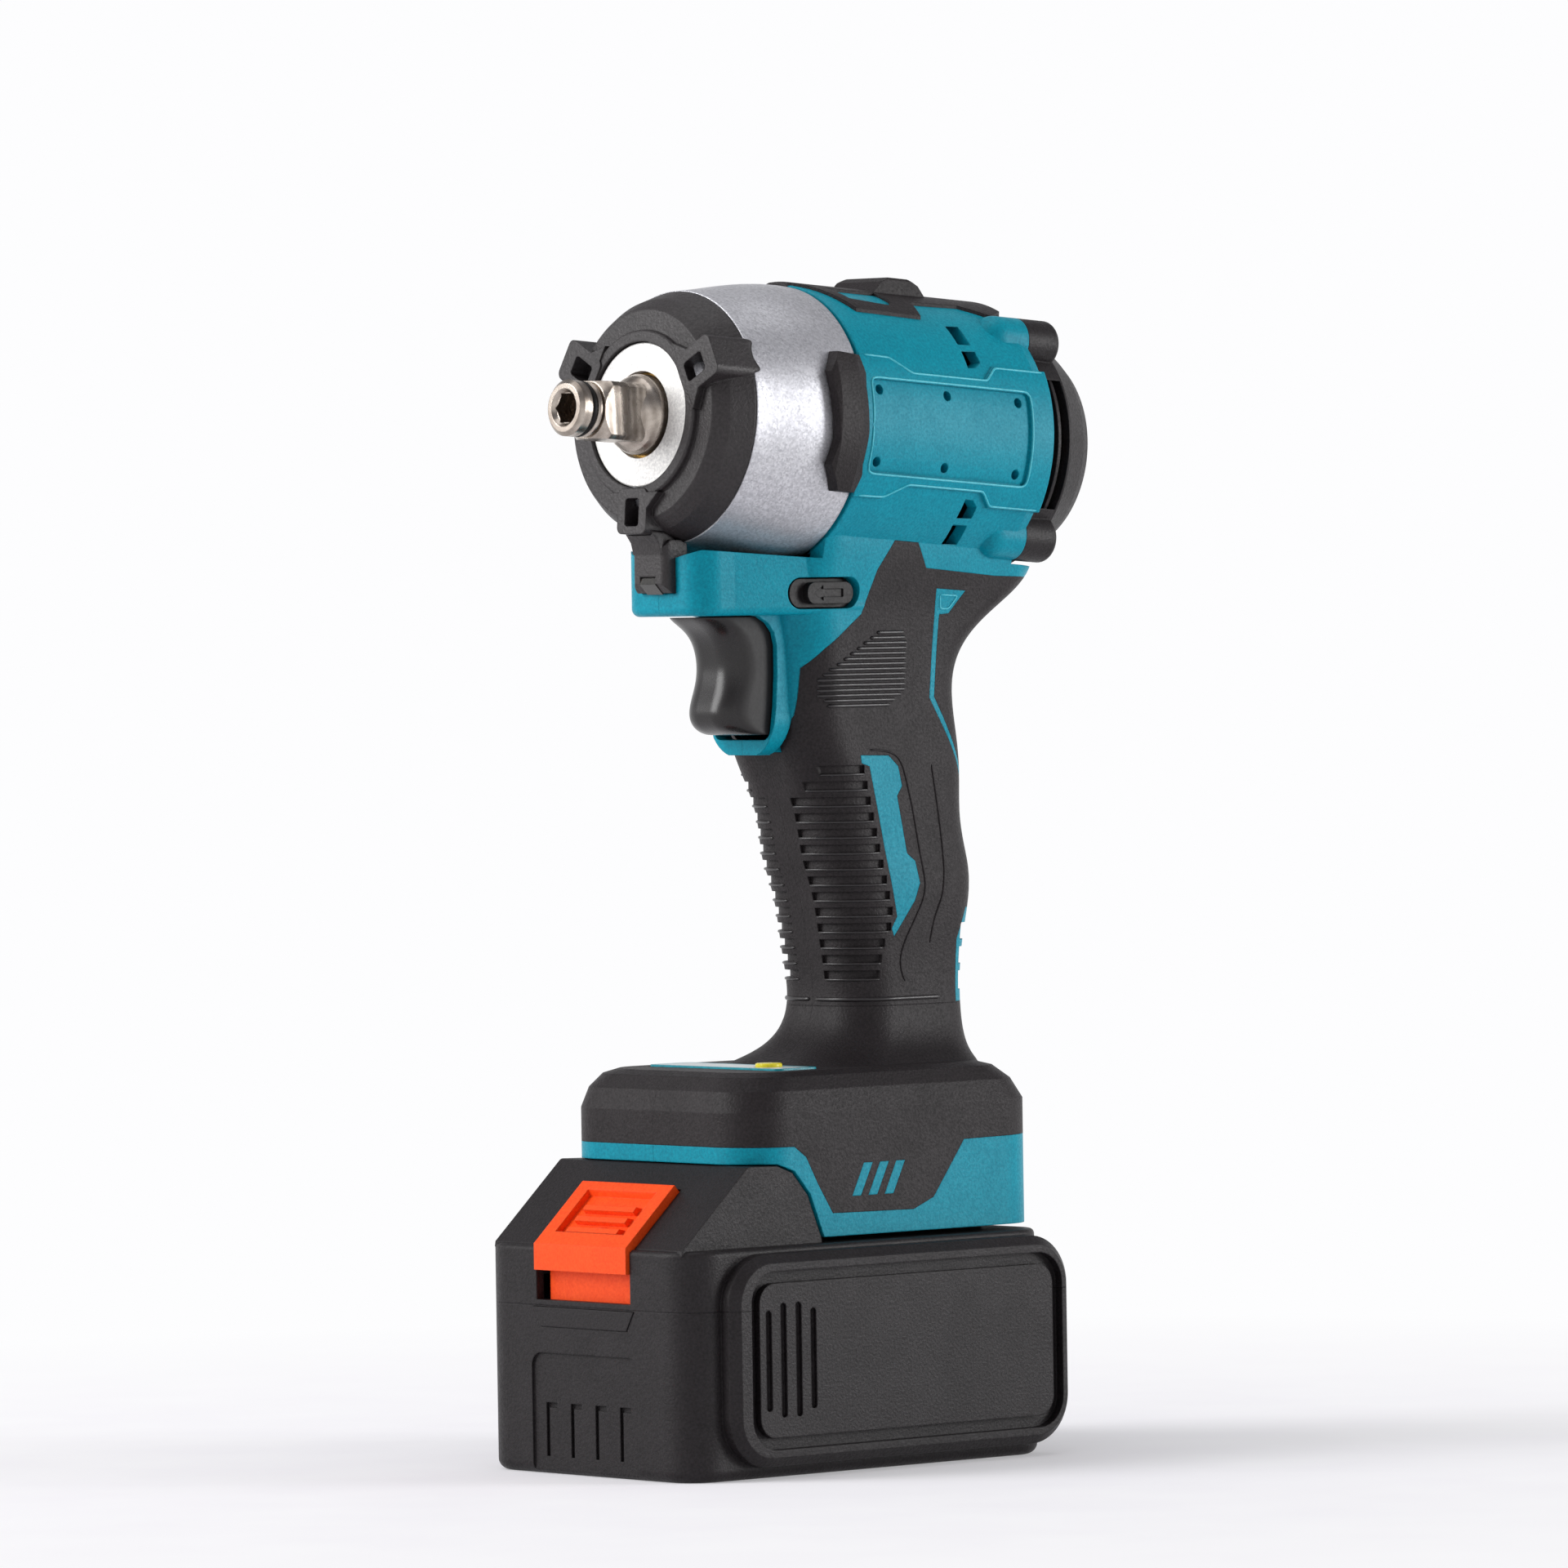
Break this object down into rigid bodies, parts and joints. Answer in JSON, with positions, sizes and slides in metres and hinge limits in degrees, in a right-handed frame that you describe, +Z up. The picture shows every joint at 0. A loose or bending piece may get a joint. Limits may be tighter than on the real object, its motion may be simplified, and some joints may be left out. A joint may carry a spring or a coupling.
{
  "type": "cordless impact wrench",
  "caption": "Cordless pistol-grip impact wrench with a square drive anvil, silver hammer case, teal and black housing and a slide-on battery pack with an orange latch.",
  "frame": {"origin": "middle of the battery's base, on the surface that the tool stands on", "axes": "+Z up, -Y towards the nose and the drive square, +X towards the tool's left side; the drive axis lies in the X = 0 plane and its nose end points 4.2 degrees upwards"},
  "size_m": [0.08, 0.1397, 0.2634],
  "materials": {
    "teal_housing": "fine matt texture",
    "black_grip": "fine-grain soft rubber",
    "black_plastic": "fine matt texture",
    "trigger_black": "smooth semi-gloss",
    "silver_paint": "silver paint with fine flake",
    "washer_steel": "fine cast, matt",
    "anvil_steel": "turned and ground, warm grey",
    "tool_steel": "ground",
    "spring_steel": "drawn wire",
    "bronze": "sintered",
    "o_ring_rubber": "smooth",
    "cast_metal": "die cast",
    "lamination": "stacked sheet steel",
    "copper": "enamelled winding",
    "board_green": "solder mask",
    "latch_orange": "moulded, satin",
    "panel_label": "printed label",
    "button_yellow": "translucent",
    "lens_clear": "clear lens",
    "cell_wrap": "shrink wrap",
    "screw_steel": "black oxide"
  },
  "bodies": {
    "housing": {"left_housing": "teal_housing", "right_housing": "teal_housing", "hammer_case": "silver_paint", "nose_bumper": "black_grip", "front_washer": "washer_steel", "anvil_bush": "bronze", "ring_gear": "tool_steel", "gearbox_plate": "cast_metal", "spindle_bearing": "tool_steel", "motor_bearings": "tool_steel", "stator_core": "lamination", "stator_coils": "copper", "sensor_board": "board_green", "rear_cover": "black_plastic", "rear_cover_screws": "screw_steel", "housing_screws": "screw_steel", "top_bumper": "black_grip", "side_pads": "black_grip", "left_grip": "black_grip", "right_grip": "black_grip", "left_foot_cover": "black_grip", "right_foot_cover": "black_grip", "rear_grip_plate": "black_plastic", "led_housing": "black_plastic", "led_lens": "lens_clear", "switch_body": "black_plastic", "control_panel": "panel_label", "controller_board": "board_green", "battery_cradle": "black_plastic", "tool_terminals": "bronze", "trigger_spring": "spring_steel"},
    "rotor": {"motor_shaft": "tool_steel", "sun_pinion": "tool_steel", "rotor_core": "lamination", "fan": "black_plastic"},
    "carrier": {"spindle": "tool_steel", "planet_pins": "tool_steel", "hammer_spring": "spring_steel"},
    "planet_1": {"planet_gear_1": "tool_steel"},
    "planet_2": {"planet_gear_2": "tool_steel"},
    "planet_3": {"planet_gear_3": "tool_steel"},
    "anvil": {"anvil": "anvil_steel", "anvil_o_ring": "o_ring_rubber", "friction_ring": "spring_steel"},
    "hammer": {"hammer": "tool_steel", "cam_balls": "tool_steel"},
    "trigger": {"trigger": "trigger_black"},
    "lever": {"direction_lever": "black_plastic"},
    "button": {"mode_button": "button_yellow"},
    "battery": {"battery_lower_case": "black_plastic", "battery_upper_case": "black_plastic", "battery_side_panels": "black_plastic", "battery_plug": "black_plastic", "battery_cells": "cell_wrap", "cell_holder": "black_plastic", "battery_board": "board_green", "battery_terminals": "bronze", "battery_screws": "screw_steel", "latch_spring": "spring_steel"},
    "latch": {"latch_button": "latch_orange"}
  },
  "joints": [
    {"name": "carrier_spin", "type": "hinge", "parent": "housing", "child": "carrier", "pos_m": [0, -0.0607, 0.2345], "axis": [0, 0.9973, -0.0732], "continuous": true},
    {"name": "rotor_spin", "type": "hinge", "parent": "housing", "child": "rotor", "pos_m": [0, -0.0607, 0.2345], "axis": [0, 0.9973, -0.0732], "continuous": true},
    {"name": "planet_1_spin", "type": "hinge", "parent": "carrier", "child": "planet_1", "pos_m": [-0.0108, 0.02148, 0.22847], "axis": [0, 0.9973, -0.0732], "continuous": true},
    {"name": "planet_2_spin", "type": "hinge", "parent": "carrier", "child": "planet_2", "pos_m": [0.0054, 0.02216, 0.23779], "axis": [0, 0.9973, -0.0732], "continuous": true},
    {"name": "planet_3_spin", "type": "hinge", "parent": "carrier", "child": "planet_3", "pos_m": [0.0054, 0.02079, 0.21914], "axis": [0, 0.9973, -0.0732], "continuous": true},
    {"name": "anvil_spin", "type": "hinge", "parent": "housing", "child": "anvil", "pos_m": [0, -0.0607, 0.2345], "axis": [0, 0.9973, -0.0732], "continuous": true},
    {"name": "hammer_slide", "type": "slide", "parent": "carrier", "child": "hammer", "axis": [0, 0.9973, -0.0732], "range_m": [0, 0.0075], "stiffness_N_per_m": 12000, "springref_m": -0.004, "deforming": ["hammer_spring"]},
    {"name": "trigger_pull", "type": "slide", "parent": "housing", "child": "trigger", "axis": [0, 1, 0], "range_m": [0, 0.006], "stiffness_N_per_m": 900, "springref_m": -0.003, "deforming": ["trigger_spring"]},
    {"name": "direction_slide", "type": "slide", "parent": "housing", "child": "lever", "axis": [1, 0, 0], "range_m": [-0.003, 0.003]},
    {"name": "mode_press", "type": "slide", "parent": "housing", "child": "button", "axis": [0, 0, -1], "range_m": [0, 0.0007], "stiffness_N_per_m": 1500, "springref_m": -0.0004},
    {"name": "battery_slide", "type": "slide", "parent": "housing", "child": "battery", "axis": [0, -1, 0], "range_m": [0, 0.085]},
    {"name": "latch_press", "type": "slide", "parent": "battery", "child": "latch", "axis": [0, 0, -1], "range_m": [0, 0.003], "stiffness_N_per_m": 1500, "springref_m": -0.002, "deforming": ["latch_spring"]}
  ],
  "couplings": [
    {"joint": "rotor_spin", "follows": "carrier_spin", "ratio": 5.3333},
    {"joint": "planet_1_spin", "follows": "carrier_spin", "ratio": -2.6},
    {"joint": "planet_2_spin", "follows": "carrier_spin", "ratio": -2.6},
    {"joint": "planet_3_spin", "follows": "carrier_spin", "ratio": -2.6},
    {"joint": "anvil_spin", "follows": "carrier_spin", "ratio": 1}
  ]
}
